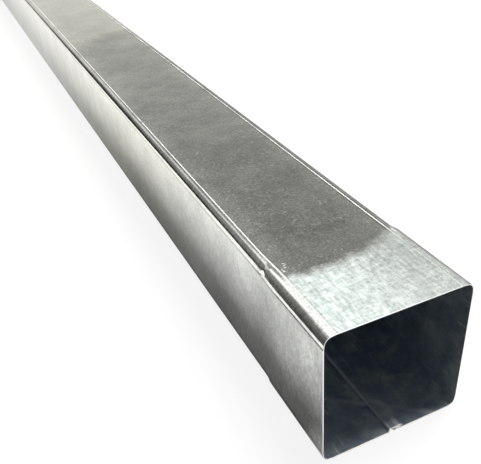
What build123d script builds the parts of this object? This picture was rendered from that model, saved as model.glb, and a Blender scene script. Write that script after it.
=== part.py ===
"""Square rainwater downpipe: one strip of zinc sheet folded into a square tube.

The strip's two edges are hooked into each other in the middle of the bottom wall and
pressed down, which makes a lock seam.  The seam stands inside the tube, so the outside
stays flush but for the narrow groove where the strip dives inwards.  One end is expanded
into a socket that slips over the plain end of the next length.

The tube lies along Y with its socket towards -Y.  The origin is in the middle of the
length, on the level that the socket rests on.  All lengths are in millimetres.
"""
import os
from math import cos, pi

from build123d import *

# Stock
LENGTH = 2000.0             # end to end, socket included
BODY_WIDTH = 100.0          # outside, wall to wall
SHEET = 0.7                 # thickness of the zinc sheet
CORNER_RADIUS = 6.0         # outside of the four folds

# Expanded socket
SOCKET_DEPTH = 70.0         # straight part, from the mouth
TRANSITION = 10.0           # length over which the walls step out
SOCKET_CLEARANCE = 0.3      # to the plain end of the next length, on each side

# Lock seam
SEAM_GAP = 0.3              # play between the plies that lie on each other
SEAM_LAP = 7.0              # over the two hooks, from fold to fold
GROOVE_WIDTH = 2.6          # opening that the seam leaves outside
HOOK_PLAY = 0.5             # from an edge of the strip to the bend of the hook around it

STATIONS = 6                # steps of the eased transition

body_half = BODY_WIDTH / 2
socket_half = body_half + SOCKET_CLEARANCE + SHEET
axis_height = socket_half
ply_pitch = SHEET + SEAM_GAP
root_y = SOCKET_DEPTH - LENGTH / 2
body_y = root_y + TRANSITION
plain_y = LENGTH / 2


def across(y):
    """Plane square to the tube at y, centred on its axis and facing the socket's mouth."""
    return Plane(origin=(0, y, axis_height), x_dir=(1, 0, 0), z_dir=(0, -1, 0))


def folded_strip(half_width):
    """Section of the strip, from edge to edge, for a tube of that half width outside.

    The seam has four plies.  From the outside in they are the sheet that comes from the
    right, the tucked edge of the sheet from the left, the tucked edge of the sheet from
    the right, and the sheet from the left, which covers the others.
    """
    wall = half_width - SHEET / 2
    ply = [level * ply_pitch - wall for level in range(4)]
    riser_x = -(GROOVE_WIDTH + SHEET) / 2
    right_hook_x = (GROOVE_WIDTH + SHEET) / 2 + ply_pitch
    left_hook_x = GROOVE_WIDTH / 2 + SEAM_LAP - SHEET / 2 - ply_pitch
    with BuildLine() as strip:
        left_edge = Line((right_hook_x + HOOK_PLAY, ply[1]), (left_hook_x, ply[1]))
        left_hook = JernArc(left_edge @ 1, left_edge % 1, ply_pitch, 180)
        cover = Line(left_hook @ 1, (riser_x + ply_pitch, ply[3]))
        shoulder = JernArc(cover @ 1, cover % 1, ply_pitch, 90)
        riser = Line(shoulder @ 1, (riser_x, ply[1]))
        foot = JernArc(riser @ 1, riser % 1, ply_pitch, -90)
        walls = FilletPolyline(
            foot @ 1,
            (-wall, -wall),
            (-wall, wall),
            (wall, wall),
            (wall, -wall),
            (right_hook_x, -wall),
            radius=CORNER_RADIUS - SHEET / 2,
        )
        right_hook = JernArc(walls @ 1, walls % 1, ply_pitch, -180)
        Line(right_hook @ 1, (left_hook_x - HOOK_PLAY, ply[2]))
    trace(strip.line, line_width=SHEET)


with BuildPart() as square_tube:
    # Body, drawn at its plain end
    with BuildSketch(across(plain_y)):
        folded_strip(body_half)
    extrude(amount=plain_y - body_y)

    # Transition, where the walls ease out from the body to the socket
    for station in range(STATIONS + 1):
        travel = station / STATIONS
        swell = (1 - cos(pi * travel)) / 2
        with BuildSketch(across(body_y - travel * TRANSITION)):
            folded_strip(body_half + swell * (socket_half - body_half))
    loft()

    # Socket, up to its mouth
    with BuildSketch(across(root_y)):
        folded_strip(socket_half)
    extrude(amount=SOCKET_DEPTH)

square_tube.part.label = "square_tube"

os.makedirs("parts", exist_ok=True)
export_step(square_tube.part, "parts/square_tube.step")
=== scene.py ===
from math import cos, radians, sin

import bpy
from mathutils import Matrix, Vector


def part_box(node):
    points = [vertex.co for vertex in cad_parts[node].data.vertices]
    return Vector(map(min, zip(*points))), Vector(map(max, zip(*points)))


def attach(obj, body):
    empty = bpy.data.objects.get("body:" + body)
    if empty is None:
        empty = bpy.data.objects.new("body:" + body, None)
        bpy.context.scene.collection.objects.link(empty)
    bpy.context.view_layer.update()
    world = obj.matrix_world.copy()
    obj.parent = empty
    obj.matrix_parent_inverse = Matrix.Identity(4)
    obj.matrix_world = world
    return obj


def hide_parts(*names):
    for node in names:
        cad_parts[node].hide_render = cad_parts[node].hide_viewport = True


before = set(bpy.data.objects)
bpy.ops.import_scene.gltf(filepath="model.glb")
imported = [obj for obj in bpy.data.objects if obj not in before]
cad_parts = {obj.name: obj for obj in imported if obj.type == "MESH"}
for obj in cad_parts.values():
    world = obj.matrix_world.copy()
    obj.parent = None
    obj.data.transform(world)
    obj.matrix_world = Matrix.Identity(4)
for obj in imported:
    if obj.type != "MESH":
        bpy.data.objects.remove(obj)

scene = bpy.context.scene
scene.view_settings.view_transform = "Standard"
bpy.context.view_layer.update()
mm = 0.001


# Camera: it stands to the left of the socket, a little above it, and looks down along the
# tube with a slight roll. A 47 mm lens on a 36 mm wide sensor.
camera_data = bpy.data.cameras.new("camera")
camera_data.lens = 46.98
camera_data.sensor_width = 36.0
camera_data.shift_y = 0.0424
camera_data.clip_start = 0.01
camera = bpy.data.objects.new("camera", camera_data)
camera.location = (-0.1801, -1.2149, 0.3277)
camera.rotation_euler = [radians(turn) for turn in (56.02, 4.03, -24.62)]
scene.collection.objects.link(camera)
scene.camera = camera


# Studio floor: a sheet of white paper that runs out of sight. The camera sees it a little
# whiter than the light makes it, and the tube's own shadow stays on it.
def srgb(code):
    """Linear colour of a hex code, with alpha."""
    parts = [int(code[i:i + 2], 16) / 255 for i in (1, 3, 5)]
    return [p / 12.92 if p <= 0.04045 else ((p + 0.055) / 1.055) ** 2.4 for p in parts] + [1.0]


def add(tree, kind, inputs=None, stops=None, **settings):
    """Adds a node. An input is a value, another node's output, or a node, for its first output.
    Stops are the places and colours of a colour ramp."""
    made = tree.nodes.new(kind)
    for name, value in settings.items():
        setattr(made, name, value)
    for socket, value in (inputs or {}).items():
        if isinstance(value, bpy.types.Node):
            value = value.outputs[0]
        if isinstance(value, bpy.types.NodeSocket):
            tree.links.new(value, made.inputs[socket])
        else:
            made.inputs[socket].default_value = value
    for number, (place, code) in enumerate(stops or []):
        colours = made.color_ramp.elements
        element = colours[number] if number < 2 else colours.new(place)
        element.position = place
        element.color = srgb(code)
    return made


def new_material(name):
    """An empty material: its tree, and its output node."""
    material = bpy.data.materials.new(name)
    material.use_nodes = True
    material.node_tree.nodes.clear()
    return material, material.node_tree, material.node_tree.nodes.new("ShaderNodeOutputMaterial")


FLOOR_HALF = 15.0
FLOOR_NEAR = srgb("#F0F1F0")
FLOOR_FAR = srgb("#F2F1E8")
FLOOR_LIFT = 0.88             # share of plain white that the camera sees in place of lit floor
BLACK = (0.0, 0.0, 0.0, 1.0)
WHITE = (1.0, 1.0, 1.0, 1.0)

floor_mesh = bpy.data.meshes.new("floor")
floor_corners = [(-FLOOR_HALF, -FLOOR_HALF, 0), (FLOOR_HALF, -FLOOR_HALF, 0),
                 (FLOOR_HALF, FLOOR_HALF, 0), (-FLOOR_HALF, FLOOR_HALF, 0)]
floor_mesh.from_pydata(floor_corners, [], [(0, 1, 2, 3)])
floor = bpy.data.objects.new("floor", floor_mesh)
scene.collection.objects.link(floor)

floor_material, tree, output = new_material("white_studio_floor")
ray = add(tree, "ShaderNodeLightPath").outputs
spot = add(tree, "ShaderNodeTexCoord").outputs["Object"]
along = add(tree, "ShaderNodeSeparateXYZ", {0: spot}).outputs["Y"]

# The metal mirrors the paper half white far off, and all white in front of the mouth.
far = add(tree, "ShaderNodeMapRange",
          {"Value": along, "From Min": -0.70, "From Max": 0.10, "To Max": 0.45},
          interpolation_type="SMOOTHSTEP")
front = add(tree, "ShaderNodeMapRange", {"Value": along, "From Min": -0.97, "From Max": -1.04})
bright = add(tree, "ShaderNodeMath", {0: far, 1: front}, operation="MAXIMUM")
mirrored = add(tree, "ShaderNodeMath", {0: ray["Is Glossy Ray"], 1: bright}, operation="MULTIPLY")
lift = add(tree, "ShaderNodeMath", {0: ray["Is Camera Ray"], 1: FLOOR_LIFT, 2: mirrored},
           operation="MULTIPLY_ADD")

# The paper yellows a little with distance. In front of the mouth it throws no light back,
# which keeps the inside of the tube dark.
away = add(tree, "ShaderNodeMapRange", {"Value": along, "From Min": -0.85, "From Max": -0.40},
           interpolation_type="SMOOTHSTEP")
paper = add(tree, "ShaderNodeMix", {0: away, 6: FLOOR_NEAR, 7: FLOOR_FAR}, data_type="RGBA").outputs[2]
front = add(tree, "ShaderNodeMath", {0: front, 1: ray["Is Diffuse Ray"]}, operation="MULTIPLY")
paper = add(tree, "ShaderNodeMix", {0: front, 6: paper, 7: BLACK}, data_type="RGBA").outputs[2]
paper = add(tree, "ShaderNodeBsdfDiffuse", {"Color": paper})
white = add(tree, "ShaderNodeEmission", {"Color": WHITE, "Strength": 1.0})
mixed = add(tree, "ShaderNodeMixShader", {0: lift, 1: paper, 2: white})
tree.links.new(mixed.outputs[0], output.inputs["Surface"])
floor_mesh.materials.append(floor_material)


# Light: a long softbox hangs above the socket and to its right, so the floor close to the
# tube's left side lies in soft shade, and a smaller one fills that shade at the far end.
SOFTBOXES = {                 # place, width and length in metres, power in watts
    "key_softbox": ((1.12, -0.60, 2.40), 1.67, 1.20, 136.0),
    "fill_softbox": ((-0.30, 0.35, 0.80), 0.30, 1.00, 2.8),
}
for name, (place, width, span, power) in SOFTBOXES.items():
    lamp = bpy.data.lights.new(name, "AREA")
    lamp.shape = "RECTANGLE"
    lamp.size = width
    lamp.size_y = span
    lamp.energy = power
    softbox = bpy.data.objects.new(name, lamp)
    softbox.location = place
    softbox.visible_glossy = False
    scene.collection.objects.link(softbox)

# Cards that only the metal sees, and that throw no shadow. A grey one to the left of the
# socket draws the broad dark line along its corner, narrow black ones past it draw the thin
# line along the body's corner, and a sheet on the floor darkens the corner at the right.
CARDS = {                     # corners in metres, and the greys of foot and head
    "socket_card": (
        [(-0.15, -1.40, 0.0), (-0.15, -1.40, 0.22), (-0.15, -0.80, 0.22), (-0.15, -0.80, 0.0)],
        "#4C4C4A", "#80807E",
    ),
    "body_card": (
        [(-0.20, -0.76, 0.08), (-0.20, -0.76, 0.118), (-0.20, -0.10, 0.095), (-0.20, -0.10, 0.02)],
        "#101010", "#101010",
    ),
    "far_card": (
        [(-0.20, -0.10, 0.02), (-0.20, -0.10, 0.095), (-0.20, 1.50, 0.08), (-0.20, 1.50, 0.0)],
        "#101010", "#101010",
    ),
    "floor_card": (
        [(0.06, -0.985, 0.001), (2.50, -0.985, 0.001), (2.50, 3.00, 0.001), (0.06, 3.00, 0.001)],
        "#4A4A48", "#4A4A48",
    ),
}
for name, (corners, foot, head) in CARDS.items():
    card_material, tree, output = new_material(name)
    spot = add(tree, "ShaderNodeTexCoord").outputs["Object"]
    up = add(tree, "ShaderNodeSeparateXYZ", {0: spot}).outputs["Z"]
    grey = add(tree, "ShaderNodeValToRGB", {0: up}, stops=[(0.06, foot), (0.22, head)])
    card_paint = add(tree, "ShaderNodeBsdfDiffuse", {"Color": grey})
    tree.links.new(card_paint.outputs[0], output.inputs["Surface"])
    card_mesh = bpy.data.meshes.new(name)
    card_mesh.from_pydata(corners, [], [(0, 1, 2, 3)])
    card_mesh.materials.append(card_material)
    card = bpy.data.objects.new(name, card_mesh)
    card.visible_camera = False
    card.visible_diffuse = False
    card.visible_shadow = False
    scene.collection.objects.link(card)

# The room around them is dim. It has a pale floor line, a dark skirting at the left, a pale
# panel straight ahead, a grey dado at the right and a bright ceiling ahead. Each ramp is over
# the sine of the elevation, from 0 for straight down to 1 for straight up.
RIGHT_ROOM = [
    (0.490, "#F0F0EE"),
    (0.580, "#E8E6DC"),
    (0.607, "#E6E3D6"),
    (0.618, "#BEBFB9"),
    (0.680, "#ACADA9"),
    (0.725, "#9B9C98"),
    (0.780, "#8F908C"),
]
LEFT_ROOM = [
    (0.485, "#F0F0EE"),
    (0.505, "#1C1C1A"),
    (0.545, "#2E2E2C"),
    (0.600, "#747570"),
    (0.675, "#8C8D8A"),
    (0.825, "#8C8D8A"),
    (0.850, "#FFFFFF"),
]
PANEL = srgb("#F6F6F4")
PANEL_SIDE = -0.08            # sine of its bearing from straight ahead
DADO = srgb("#9C9C98")
CEILING = (1.8, 1.8, 1.8, 1.0)
CEILING_EDGE = 0.64           # sine of the elevation where the ceiling starts

world = bpy.data.worlds.new("room")
scene.world = world
world.use_nodes = True
tree = world.node_tree
tree.nodes.clear()
bearing = add(tree, "ShaderNodeTexCoord").outputs["Generated"]
way = add(tree, "ShaderNodeSeparateXYZ", {0: bearing}).outputs
level = add(tree, "ShaderNodeMapRange", {"Value": way["Z"], "From Min": -1.0, "From Max": 1.0})
right = add(tree, "ShaderNodeValToRGB", {0: level}, stops=RIGHT_ROOM)
left = add(tree, "ShaderNodeValToRGB", {0: level}, stops=LEFT_ROOM)
to_left = add(tree, "ShaderNodeMapRange", {"Value": way["X"], "From Min": -0.16, "From Max": -0.30},
              interpolation_type="SMOOTHSTEP")
room = add(tree, "ShaderNodeMix", {0: to_left, 6: right, 7: left}, data_type="RGBA").outputs[2]

off_panel = add(tree, "ShaderNodeMath", {0: way["X"], 1: PANEL_SIDE}, operation="SUBTRACT")
off_panel = add(tree, "ShaderNodeMath", {0: off_panel}, operation="ABSOLUTE")
across = add(tree, "ShaderNodeMapRange", {"Value": off_panel, "From Min": 0.14, "From Max": 0.07},
             interpolation_type="SMOOTHSTEP")
above = add(tree, "ShaderNodeMapRange", {"Value": way["Z"], "From Min": 0.20, "From Max": 0.30},
            interpolation_type="SMOOTHSTEP")
on_panel = add(tree, "ShaderNodeMath", {0: across, 1: above}, operation="MULTIPLY")
room = add(tree, "ShaderNodeMix", {0: on_panel, 6: room, 7: PANEL}, data_type="RGBA").outputs[2]

aside = add(tree, "ShaderNodeMapRange", {"Value": way["X"], "From Min": 0.26, "From Max": 0.42},
            interpolation_type="SMOOTHSTEP")
below = add(tree, "ShaderNodeMapRange", {"Value": way["Z"], "From Min": 0.27, "From Max": 0.20},
            interpolation_type="SMOOTHSTEP")
on_dado = add(tree, "ShaderNodeMath", {0: aside, 1: below}, operation="MULTIPLY")
room = add(tree, "ShaderNodeMix", {0: on_dado, 6: room, 7: DADO}, data_type="RGBA").outputs[2]

across = add(tree, "ShaderNodeMapRange", {"Value": way["X"], "From Min": -0.20, "From Max": 0.0},
             interpolation_type="SMOOTHSTEP")
above = add(tree, "ShaderNodeMapRange",
            {"Value": way["Z"], "From Min": CEILING_EDGE - 0.02, "From Max": CEILING_EDGE + 0.04},
            interpolation_type="SMOOTHSTEP")
on_ceiling = add(tree, "ShaderNodeMath", {0: across, 1: above}, operation="MULTIPLY")
across = add(tree, "ShaderNodeMapRange",
             {"Value": way["X"], "From Min": 0.62, "From Max": 0.42, "To Min": 0.3},
             interpolation_type="SMOOTHSTEP")
on_ceiling = add(tree, "ShaderNodeMath", {0: on_ceiling, 1: across}, operation="MULTIPLY")
room = add(tree, "ShaderNodeMix", {0: on_ceiling, 6: room, 7: CEILING}, data_type="RGBA").outputs[2]

# The floor takes only a little light from the left, which keeps the shade beside the tube.
# The room gives hardly any light from behind the camera, so that little goes in at the mouth,
# but the mouth's burred edge mirrors a skylight there, high up at the right.
on_left = add(tree, "ShaderNodeMapRange", {"Value": way["X"], "From Min": 0.10, "From Max": -0.05})
seen = add(tree, "ShaderNodeLightPath").outputs
dimmed = add(tree, "ShaderNodeMath", {0: on_left, 1: seen["Is Diffuse Ray"]}, operation="MULTIPLY")
dimmed = add(tree, "ShaderNodeMath", {0: dimmed, 1: 0.85}, operation="MULTIPLY")
room = add(tree, "ShaderNodeMix", {0: dimmed, 6: room, 7: BLACK}, data_type="RGBA").outputs[2]
behind = add(tree, "ShaderNodeMapRange", {"Value": way["Y"], "From Min": 0.05, "From Max": -0.15})
hidden = add(tree, "ShaderNodeMapRange",
             {"Value": seen["Is Glossy Ray"], "To Min": 0.97, "To Max": 0.15})
hidden = add(tree, "ShaderNodeMath", {0: behind, 1: hidden}, operation="MULTIPLY")
room = add(tree, "ShaderNodeMix", {0: hidden, 6: room, 7: BLACK}, data_type="RGBA").outputs[2]
above = add(tree, "ShaderNodeMapRange", {"Value": way["Z"], "From Min": 0.40, "From Max": 0.60})
across = add(tree, "ShaderNodeMapRange", {"Value": way["X"], "From Min": 0.25, "From Max": 0.40})
skylight = add(tree, "ShaderNodeMath", {0: above, 1: behind}, operation="MULTIPLY")
skylight = add(tree, "ShaderNodeMath", {0: skylight, 1: across}, operation="MULTIPLY")
skylight = add(tree, "ShaderNodeMath", {0: skylight, 1: seen["Is Glossy Ray"]}, operation="MULTIPLY")
room = add(tree, "ShaderNodeMix", {0: skylight, 6: room, 7: CEILING}, data_type="RGBA").outputs[2]
room = add(tree, "ShaderNodeBackground", {"Color": room})
white = add(tree, "ShaderNodeBackground", {"Color": WHITE})
mixed = add(tree, "ShaderNodeMixShader", {0: seen["Is Camera Ray"], 1: room, 2: white})
add(tree, "ShaderNodeOutputWorld", {"Surface": mixed})


# The tube: one strip of titanium-zinc sheet folded square, its edges hooked into a lock
# seam inside the bottom wall. One end was driven over an expander, whose corner blocks
# pushed the corners out in a sharp step, while the walls between them follow gently.
box_low, box_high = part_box("square_tube")
length = box_high[1] - box_low[1]
mouth_y = box_low[1]
socket_half = (box_high[0] - box_low[0]) / 2
axis_height = (box_high[2] + box_low[2]) / 2

SHEET = 0.7 * mm
BODY_HALF = 50 * mm
CORNER_RADIUS = 6 * mm
PLY_PITCH = 1.0 * mm          # from ply to ply in the seam
SEAM_LAP = 7 * mm
GROOVE_WIDTH = 2.6 * mm
HOOK_PLAY = 0.5 * mm
FINE_EDGE = 9 * mm            # stretch beside each corner that gets close points
BEAD_EDGE = 3 * mm            # the last of it, over the roller's bead, gets the closest

wall = BODY_HALF - SHEET / 2
bend = CORNER_RADIUS - SHEET / 2
flat_half = wall - bend
riser_x = -(GROOVE_WIDTH + SHEET) / 2
right_hook_x = (GROOVE_WIDTH + SHEET) / 2 + PLY_PITCH
left_hook_x = GROOVE_WIDTH / 2 + SEAM_LAP - SHEET / 2 - PLY_PITCH
ply = [row * PLY_PITCH - wall for row in range(4)]


def walk(start, heading, moves):
    """Points along a path in the section: each move is a straight (length, steps) or a bend
    (radius, turn in degrees, steps), with turns to the left counted positive."""
    x, z = start
    points = [(x, z)]
    for move in moves:
        steps = move[-1]
        for _ in range(steps):
            turn = radians(move[1]) / steps if len(move) == 3 else 0.0
            stride = 2 * move[0] * sin(abs(turn) / 2) if len(move) == 3 else move[0] / steps
            heading += turn / 2
            x += stride * cos(heading)
            z += stride * sin(heading)
            heading += turn / 2
            points.append((x, z))
    return points


to_corner = [(FINE_EDGE - BEAD_EDGE, 9), (BEAD_EDGE, 13), (bend, -90, 10)]
off_corner = [(BEAD_EDGE, 13), (FINE_EDGE - BEAD_EDGE, 9)]
side = off_corner + [(2 * (flat_half - FINE_EDGE), 10)] + to_corner
section = walk(
    (right_hook_x + HOOK_PLAY, ply[1]), 0.0,
    [(left_hook_x - right_hook_x - HOOK_PLAY, 1), (PLY_PITCH, 180, 12)]
    + [(left_hook_x - riser_x - PLY_PITCH, 3)]
    + [(PLY_PITCH, 90, 6), (PLY_PITCH, 1), (PLY_PITCH, -90, 6)]
    + [(flat_half - FINE_EDGE + riser_x - PLY_PITCH, 5)] + to_corner
    + side * 3
    + off_corner + [(flat_half - FINE_EDGE - right_hook_x, 5), (PLY_PITCH, -180, 12)]
    + [(left_hook_x - right_hook_x - HOOK_PLAY, 1)],
)
section_mesh = bpy.data.meshes.new("strip_section")
section_edges = [(i, i + 1) for i in range(len(section) - 1)]
section_mesh.from_pydata([(x, 0, z) for x, z in section], section_edges, [])
tube = bpy.data.objects.new("folded_tube", section_mesh)
scene.collection.objects.link(tube)

# The sweep's tree: a grid of the section's points by the rings along the tube, with close
# rings around the socket and its step.
forming = bpy.data.node_groups.new("fold_and_expand", "GeometryNodeTree")
forming.is_modifier = True
forming.interface.new_socket("Geometry", in_out="INPUT", socket_type="NodeSocketGeometry")
SIZES = {
    "Mouth": mouth_y,
    "Length": length,
    "Axis Height": axis_height,
    "Ring Step": 1.0 * mm,
    "Swell": socket_half - BODY_HALF,
    "Corner Step Start": 71.5 * mm,
    "Corner Step End": 78 * mm,
    "Wall Step Start": 54 * mm,
    "Wall Step End": 96 * mm,
    "Flat Half": flat_half,
    "Corner Reach": 1 * mm,       # how far the corner block's push is felt in the flat wall
    "Crease Depth": 0.3 * mm,     # the socket's walls fall off to the corner block by this
    "Crease Start": 41.3 * mm,    # from the wall's middle
    "Crease End": 44.6 * mm,
    "Ridge Place": 43.2 * mm,     # the roller's bead beside each corner, from the wall's middle
    "Ridge Skew": 0.6 * mm,       # the bead lies this much further in at the right corners
    "Ridge Inset": 1.7 * mm,      # the expander pushes the bead this far in from the corner
    "Ridge Width": 0.5 * mm,
    "Ridge Height": 0.08 * mm,
    "Ripple": 0.45 * mm,          # the noise behind it reaches about half of this each way
    "Slack Reach": 12.5 * mm,     # within this of the wall's middle the sheet is at its slackest
    "Waves Across": 9.0,          # the slack's waves to a metre: each is 110 mm across
    "Waves Along": 4.0,           # and 250 mm long
}
COUNTS = {"Section Points": len(section), "Close Rings": 100, "Rings": 142}
sockets = {}
for name in SIZES:
    sockets[name] = forming.interface.new_socket(name, in_out="INPUT", socket_type="NodeSocketFloat")
for name in COUNTS:
    sockets[name] = forming.interface.new_socket(name, in_out="INPUT", socket_type="NodeSocketInt")
sockets["Metal"] = forming.interface.new_socket(
    "Metal", in_out="INPUT", socket_type="NodeSocketMaterial")
forming.interface.new_socket("Geometry", in_out="OUTPUT", socket_type="NodeSocketGeometry")

given = add(forming, "NodeGroupInput").outputs
index = add(forming, "GeometryNodeInputIndex")
column = add(forming, "ShaderNodeMath", {0: index, 1: given["Rings"]}, operation="DIVIDE")
column = add(forming, "ShaderNodeMath", {0: column}, operation="FLOOR")
ring = add(forming, "ShaderNodeMath", {0: index, 1: given["Rings"]}, operation="MODULO")
position = add(forming, "GeometryNodeInputPosition")
drawn = add(forming, "GeometryNodeSampleIndex",
            {"Geometry": given["Geometry"], "Value": position, "Index": column},
            data_type="FLOAT_VECTOR", domain="POINT")
drawn = add(forming, "ShaderNodeSeparateXYZ", {0: drawn}).outputs

close = add(forming, "ShaderNodeMath", {0: ring, 1: given["Close Rings"]}, operation="MINIMUM")
close = add(forming, "ShaderNodeMath", {0: close, 1: given["Ring Step"]}, operation="MULTIPLY")
past = add(forming, "ShaderNodeMath", {0: ring, 1: given["Close Rings"]}, operation="SUBTRACT")
past = add(forming, "ShaderNodeMath", {0: past, 1: 0.0}, operation="MAXIMUM")
spare = add(forming, "ShaderNodeMath", {0: given["Rings"], 1: given["Close Rings"]},
            operation="SUBTRACT")
spare = add(forming, "ShaderNodeMath", {0: spare, 1: 1.0}, operation="SUBTRACT")
run = add(forming, "ShaderNodeMath", {0: given["Close Rings"], 1: given["Ring Step"]},
          operation="MULTIPLY")
run = add(forming, "ShaderNodeMath", {0: given["Length"], 1: run}, operation="SUBTRACT")
run = add(forming, "ShaderNodeMath", {0: run, 1: spare}, operation="DIVIDE")
depth = add(forming, "ShaderNodeMath", {0: past, 1: run, 2: close}, operation="MULTIPLY_ADD")

# The swell: how far a point stands out at this depth, sooner at the corners than in the
# walls, and which way: straight out on the walls, and diagonally at the corners.
off_axis = {}
for name in ("X", "Z"):
    off_axis[name] = add(forming, "ShaderNodeMath", {0: drawn[name]}, operation="ABSOLUTE")
off_middle = add(forming, "ShaderNodeMath", {0: off_axis["X"], 1: off_axis["Z"]}, operation="MINIMUM")
reach = add(forming, "ShaderNodeMath", {0: given["Flat Half"], 1: given["Corner Reach"]},
            operation="SUBTRACT")
by_corner = add(forming, "ShaderNodeMapRange",
                {"Value": off_middle, "From Min": reach, "From Max": given["Flat Half"]},
                interpolation_type="SMOOTHSTEP")
out = {}
for name in ("Corner", "Wall"):
    span = {"From Min": given[name + " Step End"], "From Max": given[name + " Step Start"]}
    out[name] = add(forming, "ShaderNodeMapRange", {"Value": depth, **span},
                    interpolation_type="SMOOTHSTEP")
swell = add(forming, "ShaderNodeMix", {0: by_corner, 2: out["Wall"], 3: out["Corner"]})
swell = add(forming, "ShaderNodeMath", {0: swell, 1: given["Swell"]}, operation="MULTIPLY")
outward = {}
for name in ("X", "Z"):
    part = add(forming, "ShaderNodeMath", {0: drawn[name], 1: given["Flat Half"]}, operation="DIVIDE")
    outward[name] = add(forming, "ShaderNodeClamp", {"Value": part, "Min": -1.0, "Max": 1.0})
outward = add(forming, "ShaderNodeCombineXYZ", outward)
outward = add(forming, "ShaderNodeVectorMath", {0: outward, "Scale": swell}, operation="SCALE")
inward = add(forming, "ShaderNodeMath", {0: given["Mouth"], 1: depth}, operation="ADD")
raised = add(forming, "ShaderNodeMath", {0: drawn["Z"], 1: given["Axis Height"]}, operation="ADD")
placed = add(forming, "ShaderNodeCombineXYZ", {"X": drawn["X"], "Y": inward, "Z": raised})
placed = add(forming, "ShaderNodeVectorMath", {0: placed, 1: outward}, operation="ADD")
grid = add(forming, "GeometryNodeMeshGrid",
           {"Size X": 1.0, "Size Y": 1.0,
            "Vertices X": given["Section Points"], "Vertices Y": given["Rings"]})
sheet = add(forming, "GeometryNodeSetPosition", {"Geometry": grid, "Position": placed})

# The relief, along the sheet's own normal: the roller's bead beside each corner, and the
# slack waves of thin sheet in the middle of each wall.
ridge = add(forming, "ShaderNodeMath", {0: off_middle, 1: given["Ridge Place"]}, operation="SUBTRACT")
rightward = add(forming, "ShaderNodeMath", {0: drawn["X"], 1: 0.0}, operation="GREATER_THAN")
ridge = add(forming, "ShaderNodeMath", {0: rightward, 1: given["Ridge Skew"], 2: ridge},
            operation="MULTIPLY_ADD")
ridge = add(forming, "ShaderNodeMath", {0: out["Wall"], 1: given["Ridge Inset"], 2: ridge},
            operation="MULTIPLY_ADD")
ridge = add(forming, "ShaderNodeMath", {0: ridge, 1: given["Ridge Width"]}, operation="DIVIDE")
ridge = add(forming, "ShaderNodeMath", {0: ridge, 1: 2.0}, operation="POWER")
ridge = add(forming, "ShaderNodeMath", {0: ridge, 1: -1.0}, operation="MULTIPLY")
bead = add(forming, "ShaderNodeMath", {0: ridge}, operation="EXPONENT")
ridge = add(forming, "ShaderNodeMath", {0: bead, 1: given["Ridge Height"]}, operation="MULTIPLY")

fall = add(forming, "ShaderNodeMapRange",
           {"Value": off_middle, "From Min": given["Crease Start"], "From Max": given["Crease End"],
            "To Min": 0.0, "To Max": -1.0},
           interpolation_type="SMOOTHSTEP")
fall = add(forming, "ShaderNodeMath", {0: fall, 1: out["Corner"]}, operation="MULTIPLY")
fall = add(forming, "ShaderNodeMath", {0: fall, 1: given["Crease Depth"], 2: ridge},
           operation="MULTIPLY_ADD")

rates = add(forming, "ShaderNodeCombineXYZ",
            {"X": given["Waves Across"], "Y": given["Waves Along"], "Z": given["Waves Across"]})
stretched = add(forming, "ShaderNodeVectorMath", {0: position, 1: rates}, operation="MULTIPLY")
waves = add(forming, "ShaderNodeTexNoise", {"Vector": stretched, "Scale": 1.0, "Detail": 1.0})
waves = add(forming, "ShaderNodeMath", {0: waves, 1: 0.5}, operation="SUBTRACT")
slack = add(forming, "ShaderNodeMapRange",
            {"Value": off_middle, "From Min": given["Flat Half"], "From Max": given["Slack Reach"]},
            interpolation_type="SMOOTHSTEP")
waves = add(forming, "ShaderNodeMath", {0: waves, 1: slack}, operation="MULTIPLY")
relief = add(forming, "ShaderNodeMath", {0: waves, 1: given["Ripple"], 2: fall},
             operation="MULTIPLY_ADD")
normal = add(forming, "GeometryNodeInputNormal")
push = add(forming, "ShaderNodeVectorMath", {0: normal, "Scale": relief}, operation="SCALE")
sheet = add(forming, "GeometryNodeStoreNamedAttribute",
            {"Geometry": sheet, "Name": "bead", "Value": bead},
            data_type="FLOAT", domain="POINT")
sheet = add(forming, "GeometryNodeSetPosition", {"Geometry": sheet, "Offset": push})
sheet = add(forming, "GeometryNodeSetShadeSmooth", {"Geometry": sheet})
sheet = add(forming, "GeometryNodeRealizeInstances", {"Geometry": sheet})
sheet = add(forming, "GeometryNodeSetMaterial", {"Geometry": sheet, "Material": given["Metal"]})
add(forming, "NodeGroupOutput", {"Geometry": sheet})

# Outside finish: mill-finish titanium-zinc, rolled bright, so it mirrors its surroundings
# softly. Its grain runs across the tube, plainest on the side walls. Handling left faint
# clouds and wisps on it. The roller's beads are drawn pale along the top, partly rubbing and
# partly a painted highlight, and painted shade darkens some places.
zinc, tree, output = new_material("rolled_titanium_zinc")
spot = add(tree, "ShaderNodeTexCoord").outputs["Object"]
way = add(tree, "ShaderNodeSeparateXYZ", {0: spot}).outputs
aside = add(tree, "ShaderNodeMath", {0: way["X"]}, operation="ABSOLUTE")
on_top = add(tree, "ShaderNodeMapRange",
             {"Value": way["Z"], "From Min": 96 * mm, "From Max": 100 * mm})

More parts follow.
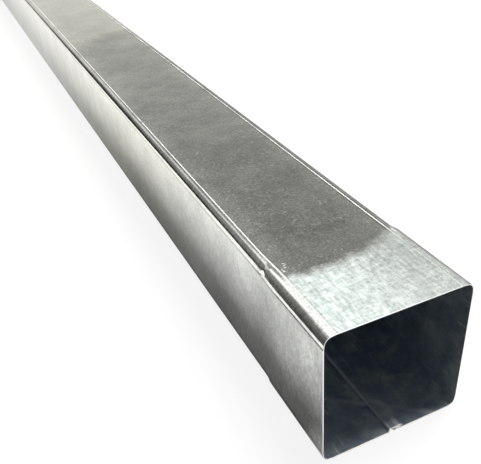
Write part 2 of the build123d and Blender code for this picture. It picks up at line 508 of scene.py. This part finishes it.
# Grain: flecks 7 mm long across the tube and 2.4 mm wide along it, with finer ones among them,
# clouds of 38 mm and a speckle of 1.7 mm. The rolls leave flecks some ten times finer, so they
# and the speckle are drawn this coarse to show.
across = add(tree, "ShaderNodeVectorMath", {0: spot, 1: (140.0, 420.0, 140.0)}, operation="MULTIPLY")
grain = add(tree, "ShaderNodeTexNoise",
            {"Vector": across, "Scale": 1.0, "Detail": 4.0, "Roughness": 0.72})
plain = add(tree, "ShaderNodeMapRange",
            {"Value": aside, "From Min": 45 * mm, "From Max": 49 * mm, "To Min": 0.12, "To Max": 0.55})
grain = add(tree, "ShaderNodeMath", {0: grain, 1: 0.5}, operation="SUBTRACT")
grain = add(tree, "ShaderNodeMath", {0: grain, 1: plain}, operation="MULTIPLY")
clouds = add(tree, "ShaderNodeTexNoise",
             {"Vector": spot, "Scale": 26.0, "Detail": 5.0, "Roughness": 0.67})
speckle = add(tree, "ShaderNodeTexNoise",
              {"Vector": spot, "Scale": 600.0, "Detail": 2.0, "Roughness": 0.7})
tone = add(tree, "ShaderNodeMath", {0: clouds, 1: 0.42, 2: grain}, operation="MULTIPLY_ADD")
tone = add(tree, "ShaderNodeMath", {0: speckle, 1: 0.48, 2: tone}, operation="MULTIPLY_ADD")
metal = add(tree, "ShaderNodeValToRGB", {0: tone}, stops=[(0.36, "#B4B5B3"), (0.54, "#DDDEDA")])
smooth = add(tree, "ShaderNodeMapRange",
             {"Value": tone, "From Min": 0.36, "From Max": 0.54, "To Min": 0.09, "To Max": 0.15})

# Wisps: hair scratches in curls of 13 mm, drawn half a millimetre wide so that they show.
curl = add(tree, "ShaderNodeTexNoise",
           {"Vector": spot, "Scale": 75.0, "Detail": 2.0, "Distortion": 0.6})
curl = add(tree, "ShaderNodeMath", {0: curl, 1: 0.5}, operation="SUBTRACT")
curl = add(tree, "ShaderNodeMath", {0: curl}, operation="ABSOLUTE")
wisp = add(tree, "ShaderNodeMapRange", {"Value": curl, "From Min": 0.022, "From Max": 0.006})
broken = add(tree, "ShaderNodeMapRange",
             {"Value": speckle, "From Min": 0.48, "From Max": 0.62, "To Max": 0.12})
wisp = add(tree, "ShaderNodeMath", {0: wisp, 1: broken}, operation="MULTIPLY")

# Film: a pale haze on the top, from 0.7 m past the mouth on, with a cloudy slanting edge, and
# a fainter one beside the corners, where hands held the tube.
FILM_DEPTH = 720 * mm
FILM_SLANT = -0.3
FILM_WAVER = 80 * mm
film_y = mouth_y + FILM_DEPTH
inset = add(tree, "ShaderNodeMath", {0: way["X"], 1: FILM_SLANT, 2: way["Y"]},
            operation="MULTIPLY_ADD")
inset = add(tree, "ShaderNodeMath", {0: clouds, 1: FILM_WAVER, 2: inset}, operation="MULTIPLY_ADD")
film = add(tree, "ShaderNodeMapRange",
           {"Value": inset, "From Min": film_y, "From Max": film_y + 30 * mm, "To Max": 0.12},
           interpolation_type="SMOOTHSTEP")
film = add(tree, "ShaderNodeMath", {0: film, 1: on_top}, operation="MULTIPLY")
haze = add(tree, "ShaderNodeMath", {0: wisp, 1: film}, operation="MAXIMUM")
handled = add(tree, "ShaderNodeMapRange",
              {"Value": aside, "From Min": 24 * mm, "From Max": 42 * mm, "To Max": 0.05},
              interpolation_type="SMOOTHSTEP")
haze = add(tree, "ShaderNodeMath", {0: haze, 1: handled}, operation="ADD")
haze = add(tree, "ShaderNodeMath", {0: haze, 1: on_top}, operation="MULTIPLY")

# Bloom: chalky white corrosion on the top of the socket, woven of spots of 4 mm and of streaks
# 11 mm long and 2 mm wide, along and across the tube. It ends along a wavy line that bows away
# from the mouth at the tube's right side, is thin there, and leaves the corners bare. The line
# lies at the depth + slant * x + bow * x squared, in metres, and wavers about it.
BLOOM_DEPTH = 57 * mm
BLOOM_SLANT = 0.17
BLOOM_BOW = 4.5
BLOOM_WAVER = 16 * mm
bow = add(tree, "ShaderNodeMath", {0: way["X"], 1: BLOOM_BOW, 2: BLOOM_SLANT},
          operation="MULTIPLY_ADD")
bow = add(tree, "ShaderNodeMath", {0: bow, 1: way["X"], 2: BLOOM_DEPTH + mouth_y},
          operation="MULTIPLY_ADD")
inset = add(tree, "ShaderNodeMath", {0: bow, 1: way["Y"]}, operation="SUBTRACT")
wavy = add(tree, "ShaderNodeTexNoise",
           {"Vector": spot, "Scale": 90.0, "Detail": 4.0, "Roughness": 0.65})
inset = add(tree, "ShaderNodeMath", {0: wavy, 1: BLOOM_WAVER, 2: inset}, operation="MULTIPLY_ADD")
bloomed = add(tree, "ShaderNodeMapRange", {"Value": inset, "From Min": 2 * mm, "From Max": 16 * mm},
              interpolation_type="SMOOTHSTEP")
thin = add(tree, "ShaderNodeMapRange",
           {"Value": way["X"], "From Min": -25 * mm, "From Max": 25 * mm,
            "To Min": 1.0, "To Max": 0.55},
           interpolation_type="SMOOTHSTEP")
bloomed = add(tree, "ShaderNodeMath", {0: bloomed, 1: thin}, operation="MULTIPLY")
along = add(tree, "ShaderNodeVectorMath", {0: spot, 1: (500.0, 90.0, 500.0)}, operation="MULTIPLY")
streaks = add(tree, "ShaderNodeTexNoise",
              {"Vector": along, "Scale": 1.0, "Detail": 2.0, "Roughness": 0.6})
mottle = add(tree, "ShaderNodeTexNoise",
             {"Vector": spot, "Scale": 230.0, "Detail": 4.0, "Roughness": 0.75})
across = add(tree, "ShaderNodeVectorMath", {0: spot, 1: (90.0, 420.0, 500.0)}, operation="MULTIPLY")
hatch = add(tree, "ShaderNodeTexNoise",
            {"Vector": across, "Scale": 1.0, "Detail": 2.0, "Roughness": 0.6})
chalk = add(tree, "ShaderNodeMath", {0: mottle, 1: 0.45}, operation="MULTIPLY")
chalk = add(tree, "ShaderNodeMath", {0: streaks, 1: 0.35, 2: chalk}, operation="MULTIPLY_ADD")
chalk = add(tree, "ShaderNodeMath", {0: hatch, 1: 0.20, 2: chalk}, operation="MULTIPLY_ADD")
bloom = add(tree, "ShaderNodeValToRGB", {0: chalk},
            stops=[(0.41, "#9AA49F"), (0.46, "#B0B9B5"), (0.53, "#C4CDC9"), (0.59, "#DEE6E3")])
cover = add(tree, "ShaderNodeMapRange",
            {"Value": chalk, "From Min": 0.40, "From Max": 0.50, "To Min": 0.88})
bloomed = add(tree, "ShaderNodeMath", {0: bloomed, 1: cover}, operation="MULTIPLY")

# Scuffs: pale specks past the bloom's edge, by the left corner.
SCUFF_LEFT = 38 * mm
SCUFF_DEPTH = 66 * mm
scuff = add(tree, "ShaderNodeMapRange", {"Value": mottle, "From Min": 0.58, "From Max": 0.64})
beside = add(tree, "ShaderNodeMath", {0: way["X"], 1: SCUFF_LEFT}, operation="ADD")
beside = add(tree, "ShaderNodeMath", {0: beside}, operation="ABSOLUTE")
beside = add(tree, "ShaderNodeMapRange", {"Value": beside, "From Min": 6 * mm, "From Max": 4 * mm})
near = add(tree, "ShaderNodeMath", {0: way["Y"], 1: mouth_y + SCUFF_DEPTH}, operation="SUBTRACT")
near = add(tree, "ShaderNodeMath", {0: near}, operation="ABSOLUTE")
near = add(tree, "ShaderNodeMapRange", {"Value": near, "From Min": 12 * mm, "From Max": 8 * mm})
scuff = add(tree, "ShaderNodeMath", {0: scuff, 1: beside}, operation="MULTIPLY")
scuff = add(tree, "ShaderNodeMath", {0: scuff, 1: near}, operation="MULTIPLY")
bloomed = add(tree, "ShaderNodeMath", {0: bloomed, 1: scuff}, operation="MAXIMUM")

# Both stay on the flat of the top, between its corners.
left_end = add(tree, "ShaderNodeMapRange",
               {"Value": way["X"], "From Min": -43.5 * mm, "From Max": -40.5 * mm})
right_end = add(tree, "ShaderNodeMapRange",
                {"Value": way["X"], "From Min": 48.0 * mm, "From Max": 44.5 * mm, "To Min": 0.12})
flat = add(tree, "ShaderNodeMath", {0: left_end, 1: right_end}, operation="MULTIPLY")
flat = add(tree, "ShaderNodeMath", {0: flat, 1: on_top}, operation="MULTIPLY")
bloomed = add(tree, "ShaderNodeMath", {0: bloomed, 1: flat}, operation="MULTIPLY")

# Crests on the top: a pale, matt line, partly rubbing and partly a painted highlight, with a
# little of the shine left in places.
bead = add(tree, "ShaderNodeAttribute", attribute_name="bead").outputs["Fac"]
crest = add(tree, "ShaderNodeMapRange", {"Value": bead, "From Min": 0.30, "From Max": 0.72},
            interpolation_type="SMOOTHSTEP")
worn = add(tree, "ShaderNodeMapRange",
           {"Value": clouds, "From Min": 0.35, "From Max": 0.55, "To Min": 0.6, "To Max": 1.0})
crest_wear_and_highlight = add(tree, "ShaderNodeMath", {0: crest, 1: worn}, operation="MULTIPLY")
crest_wear_and_highlight = add(tree, "ShaderNodeMath", {0: crest_wear_and_highlight, 1: on_top}, operation="MULTIPLY")
bare = add(tree, "ShaderNodeMath", {0: bloomed, 1: -1.0, 2: 1.0},
           operation="MULTIPLY_ADD", use_clamp=True)
crest_wear_and_highlight = add(tree, "ShaderNodeMath", {0: crest_wear_and_highlight, 1: bare}, operation="MULTIPLY")

# Painted shade: a dark grey laid into the side walls' beads, at the foot of the top's beads,
# most at the right, along the bottom corners, and thin over the upper half of the socket's
# side walls, but for a spot by the mouth that is left out. It stands for the shade and the
# darker reflections there. The spot fades out 13 mm off along the tube and 22 mm off up the wall.
SPARED_SPOT = (0.0, mouth_y + 17 * mm, 72 * mm)
on_side = add(tree, "ShaderNodeMapRange",
              {"Value": aside, "From Min": 48 * mm, "From Max": 49 * mm, "To Max": 0.9})
painted_shade = add(tree, "ShaderNodeMath", {0: crest, 1: on_side}, operation="MULTIPLY")
foot = add(tree, "ShaderNodeMapRange",
           {"Value": bead, "From Min": 1e-9, "From Max": 1e-4, "To Max": 0.5})
to_right = add(tree, "ShaderNodeMapRange",
               {"Value": way["X"], "From Min": -10 * mm, "From Max": 30 * mm, "To Min": 0.2})
foot = add(tree, "ShaderNodeMath", {0: foot, 1: to_right}, operation="MULTIPLY")
foot = add(tree, "ShaderNodeMath", {0: foot, 1: bare}, operation="MULTIPLY")
painted_shade = add(tree, "ShaderNodeMath", {0: painted_shade, 1: foot}, operation="MAXIMUM")
bottom = add(tree, "ShaderNodeMapRange",
             {"Value": way["Z"], "From Min": 8 * mm, "From Max": 4 * mm, "To Max": 0.5})
painted_shade = add(tree, "ShaderNodeMath", {0: painted_shade, 1: bottom}, operation="MAXIMUM")
swollen = add(tree, "ShaderNodeMapRange",
              {"Value": aside, "From Min": 50.15 * mm, "From Max": 50.8 * mm})
upper = add(tree, "ShaderNodeMapRange",
            {"Value": way["Z"], "From Min": 55 * mm, "From Max": 82 * mm, "To Max": 0.3})
spared = add(tree, "ShaderNodeVectorMath", {0: spot, 1: SPARED_SPOT}, operation="SUBTRACT")
spared = add(tree, "ShaderNodeVectorMath", {0: spared, 1: (0.0, 85.0, 50.0)}, operation="MULTIPLY")
spared = add(tree, "ShaderNodeVectorMath", {0: spared}, operation="LENGTH").outputs["Value"]
spared = add(tree, "ShaderNodeMapRange", {"Value": spared, "From Min": 0.4, "From Max": 1.1},
              interpolation_type="SMOOTHSTEP")
# The painted shade stops short of the corner's bright line.
shine = add(tree, "ShaderNodeMapRange",
            {"Value": way["Z"], "From Min": 94.8 * mm, "From Max": 93.8 * mm})
painted_wall_shade = add(tree, "ShaderNodeMath", {0: swollen, 1: upper}, operation="MULTIPLY")
painted_wall_shade = add(tree, "ShaderNodeMath", {0: painted_wall_shade, 1: shine}, operation="MULTIPLY")
painted_wall_shade = add(tree, "ShaderNodeMath", {0: painted_wall_shade, 1: spared}, operation="MULTIPLY")
painted_shade = add(tree, "ShaderNodeMath", {0: painted_shade, 1: painted_wall_shade}, operation="MAXIMUM")

# All layers in their order: haze, painted shade, bloom and the crests' pale line, partly
# rubbing and partly painted highlight. The chalky ones are matt and hide most of the metal's
# shine.
colour = metal
for share, layer in [(haze, srgb("#E4DFCE")), (painted_shade, srgb("#6E6E6A")), (bloomed, bloom),
                     (crest_wear_and_highlight, srgb("#E6E6E2"))]:
    colour = add(tree, "ShaderNodeMix", {0: share, 6: colour, 7: layer}, data_type="RGBA").outputs[2]
dull = add(tree, "ShaderNodeMapRange",
           {"Value": chalk, "From Min": 0.35, "From Max": 0.60, "To Min": 0.28, "To Max": 0.42})
rough = add(tree, "ShaderNodeMath", {0: haze, 1: 0.4, 2: smooth}, operation="MULTIPLY_ADD")
rough = add(tree, "ShaderNodeMix", {0: bloomed, 2: rough, 3: dull})
rough = add(tree, "ShaderNodeMix", {0: crest_wear_and_highlight, 2: rough, 3: 0.5})
chalky = add(tree, "ShaderNodeMath", {0: bloomed, 1: crest_wear_and_highlight}, operation="MAXIMUM")
chalky = add(tree, "ShaderNodeMath", {0: chalky, 1: haze}, operation="MAXIMUM")
metallic = add(tree, "ShaderNodeMath", {0: chalky, 1: -0.7, 2: 1.0}, operation="MULTIPLY_ADD")

relief = add(tree, "ShaderNodeMath", {0: grain, 1: 0.5, 2: clouds}, operation="MULTIPLY_ADD")
relief = add(tree, "ShaderNodeMath", {0: speckle, 1: 0.06, 2: relief}, operation="MULTIPLY_ADD")
relief = add(tree, "ShaderNodeBump", {"Height": relief, "Strength": 0.5, "Distance": 0.003 * mm})
shader = add(tree, "ShaderNodeBsdfPrincipled",
             {"Base Color": colour, "Metallic": metallic, "Roughness": rough, "Normal": relief})
tree.links.new(shader.outputs[0], output.inputs["Surface"])

# Inside finish: the same sheet, never rubbed bright: dull, blue-grey, in clouds of 18 mm. The
# seam's shoulder and a short stretch of the seam's top carry a painted highlight, a band of
# painted light runs slantwise over the socket's floor, and short scratches show where other
# lengths were pushed in.
inside, tree, output = new_material("dull_inner_zinc")
spot = add(tree, "ShaderNodeTexCoord").outputs["Object"]
way = add(tree, "ShaderNodeSeparateXYZ", {0: spot}).outputs
clouds = add(tree, "ShaderNodeTexNoise",
             {"Vector": spot, "Scale": 55.0, "Detail": 6.0, "Roughness": 0.75})
dull_sheet = add(tree, "ShaderNodeValToRGB", {0: clouds},
                 stops=[(0.36, "#95A0B4"), (0.5, "#ACB7C2"), (0.64, "#CAD2CE")])

# The painted highlight on the shoulder: the top of the seam's first fold.
SHOULDER = riser_x + 0.35 * mm
high = add(tree, "ShaderNodeMapRange", {"Value": way["Z"], "From Min": 2.2 * mm, "From Max": 2.8 * mm})
aside = add(tree, "ShaderNodeMath", {0: way["X"], 1: SHOULDER}, operation="SUBTRACT")
aside = add(tree, "ShaderNodeMath", {0: aside}, operation="ABSOLUTE")
beside = add(tree, "ShaderNodeMapRange", {"Value": aside, "From Min": 1.2 * mm, "From Max": 0.5 * mm})
low = add(tree, "ShaderNodeMapRange", {"Value": way["Z"], "From Min": 5.0 * mm, "From Max": 4.0 * mm})
shoulder_highlight = add(tree, "ShaderNodeMath", {0: high, 1: beside}, operation="MULTIPLY")
shoulder_highlight = add(tree, "ShaderNodeMath", {0: shoulder_highlight, 1: low}, operation="MULTIPLY")

# A band of painted light: a pale straight line over the tube's floor, through x = -22 mm at
# 43 mm in from the mouth and x = 30 mm at 3 mm in.
LIGHT_BAND_NORMAL = (0.61, 0.79, 0.0)
LIGHT_BAND_OFFSET = 20.6 * mm     # from the middle of the mouth's floor, along the normal
slant = add(tree, "ShaderNodeVectorMath", {0: spot, 1: LIGHT_BAND_NORMAL}, operation="DOT_PRODUCT")
slant = add(tree, "ShaderNodeMath",
            {0: slant.outputs["Value"], 1: LIGHT_BAND_OFFSET + LIGHT_BAND_NORMAL[1] * mouth_y},
            operation="SUBTRACT")
slant = add(tree, "ShaderNodeMath", {0: slant}, operation="ABSOLUTE")
painted_light_band = add(tree, "ShaderNodeMapRange", {"Value": slant, "From Min": 2.8 * mm, "From Max": 0.6 * mm})
painted_light_band = add(tree, "ShaderNodeMath", {0: painted_light_band, 1: low}, operation="MULTIPLY")
painted_light_band = add(tree, "ShaderNodeMath", {0: painted_light_band, 1: 0.5}, operation="MULTIPLY")

# Scratches: mostly along the tube, up to 30 mm long and under a millimetre wide.
drawn = add(tree, "ShaderNodeMapping",
            {"Vector": spot, "Rotation": (0, 0, 0.25), "Scale": (500.0, 36.0, 500.0)})
scratch = add(tree, "ShaderNodeTexNoise", {"Vector": drawn, "Scale": 1.0, "Detail": 1.0})
scratch = add(tree, "ShaderNodeMapRange",
              {"Value": scratch, "From Min": 0.69, "From Max": 0.74, "To Max": 0.6})

# A painted highlight: a short pale stretch on top of the seam, in from the mouth.
SEAM_HIGHLIGHT_MIDDLE = 5.0 * mm
aside = add(tree, "ShaderNodeMath", {0: way["X"], 1: SEAM_HIGHLIGHT_MIDDLE}, operation="SUBTRACT")
aside = add(tree, "ShaderNodeMath", {0: aside}, operation="ABSOLUTE")
beside = add(tree, "ShaderNodeMapRange",
             {"Value": aside, "From Min": 2.4 * mm, "From Max": 1.0 * mm, "To Max": 0.7})
front = add(tree, "ShaderNodeMapRange",
            {"Value": way["Y"], "From Min": mouth_y + 11 * mm, "From Max": mouth_y + 6 * mm})
seam_top_highlight = add(tree, "ShaderNodeMath", {0: beside, 1: front}, operation="MULTIPLY")
seam_top_highlight = add(tree, "ShaderNodeMath", {0: seam_top_highlight, 1: high}, operation="MULTIPLY")
seam_top_highlight = add(tree, "ShaderNodeMath", {0: seam_top_highlight, 1: low}, operation="MULTIPLY")
# Pale marks: the painted highlights and band of light, and the real scratches.
highlights_and_scratches = add(tree, "ShaderNodeMath", {0: shoulder_highlight, 1: painted_light_band}, operation="MAXIMUM")
highlights_and_scratches = add(tree, "ShaderNodeMath", {0: highlights_and_scratches, 1: seam_top_highlight}, operation="MAXIMUM")
highlights_and_scratches = add(tree, "ShaderNodeMath", {0: highlights_and_scratches, 1: scratch}, operation="MAXIMUM")
colour = add(tree, "ShaderNodeMix", {0: highlights_and_scratches, 6: dull_sheet, 7: srgb("#F2F2F4")}, data_type="RGBA")
metallic = add(tree, "ShaderNodeMath", {0: highlights_and_scratches, 1: -0.5, 2: 0.5}, operation="MULTIPLY_ADD")
rough = add(tree, "ShaderNodeMapRange",
            {"Value": clouds, "From Min": 0.35, "From Max": 0.65, "To Min": 0.44, "To Max": 0.56})
relief = add(tree, "ShaderNodeBump", {"Height": clouds, "Strength": 0.5, "Distance": 0.05 * mm})
shader = add(tree, "ShaderNodeBsdfPrincipled",
             {"Base Color": colour.outputs[2], "Metallic": metallic, "Roughness": rough,
              "Normal": relief})
tree.links.new(shader.outputs[0], output.inputs["Surface"])

# Cut edges: sheared bright, so they catch the light as a thin white line round the mouth.
sheared, tree, output = new_material("sheared_zinc_edge")
shader = add(tree, "ShaderNodeBsdfPrincipled",
             {"Base Color": srgb("#FBFBFA"), "Metallic": 1.0, "Roughness": 0.12})
tree.links.new(shader.outputs[0], output.inputs["Surface"])

fold = tube.modifiers.new("fold_and_expand", "NODES")
fold.node_group = forming
for name, value in {**SIZES, **COUNTS, "Metal": zinc}.items():
    fold[sockets[name].identifier] = value
thicken = tube.modifiers.new("sheet_thickness", "SOLIDIFY")
thicken.thickness = SHEET
thicken.offset = 0.0
thicken.use_even_offset = True
made = bpy.data.meshes.new_from_object(tube.evaluated_get(bpy.context.evaluated_depsgraph_get()))
tube.modifiers.clear()
tube.data = made
made.name = "folded_tube"
made.materials.clear()
for material in (zinc, inside, sheared):
    made.materials.append(material)

# The faces come as outside, inside and cut edges, in this order. The seam's hooks are dull on
# both sides, and so is the body's floor under them.
SEAM_SPAN = (-2.5 * mm, 10 * mm)
SEAM_RISE = (0.9 * mm, 5 * mm)
one_side = (len(section) - 1) * (COUNTS["Rings"] - 1)
for number, face in enumerate(made.polygons):
    x, _, z = face.center
    in_seam = SEAM_SPAN[0] < x < SEAM_SPAN[1] and SEAM_RISE[0] < z < SEAM_RISE[1]
    face.material_index = 1 if in_seam else min(number // one_side, 2)
made.set_sharp_from_angle(angle=radians(45))
burr = tube.modifiers.new("sheared_edge", "BEVEL")
burr.width = 0.25 * mm
burr.segments = 2
burr.angle_limit = radians(60)
burr.material = 2
burr.harden_normals = True
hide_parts("square_tube")
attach(tube, "root")
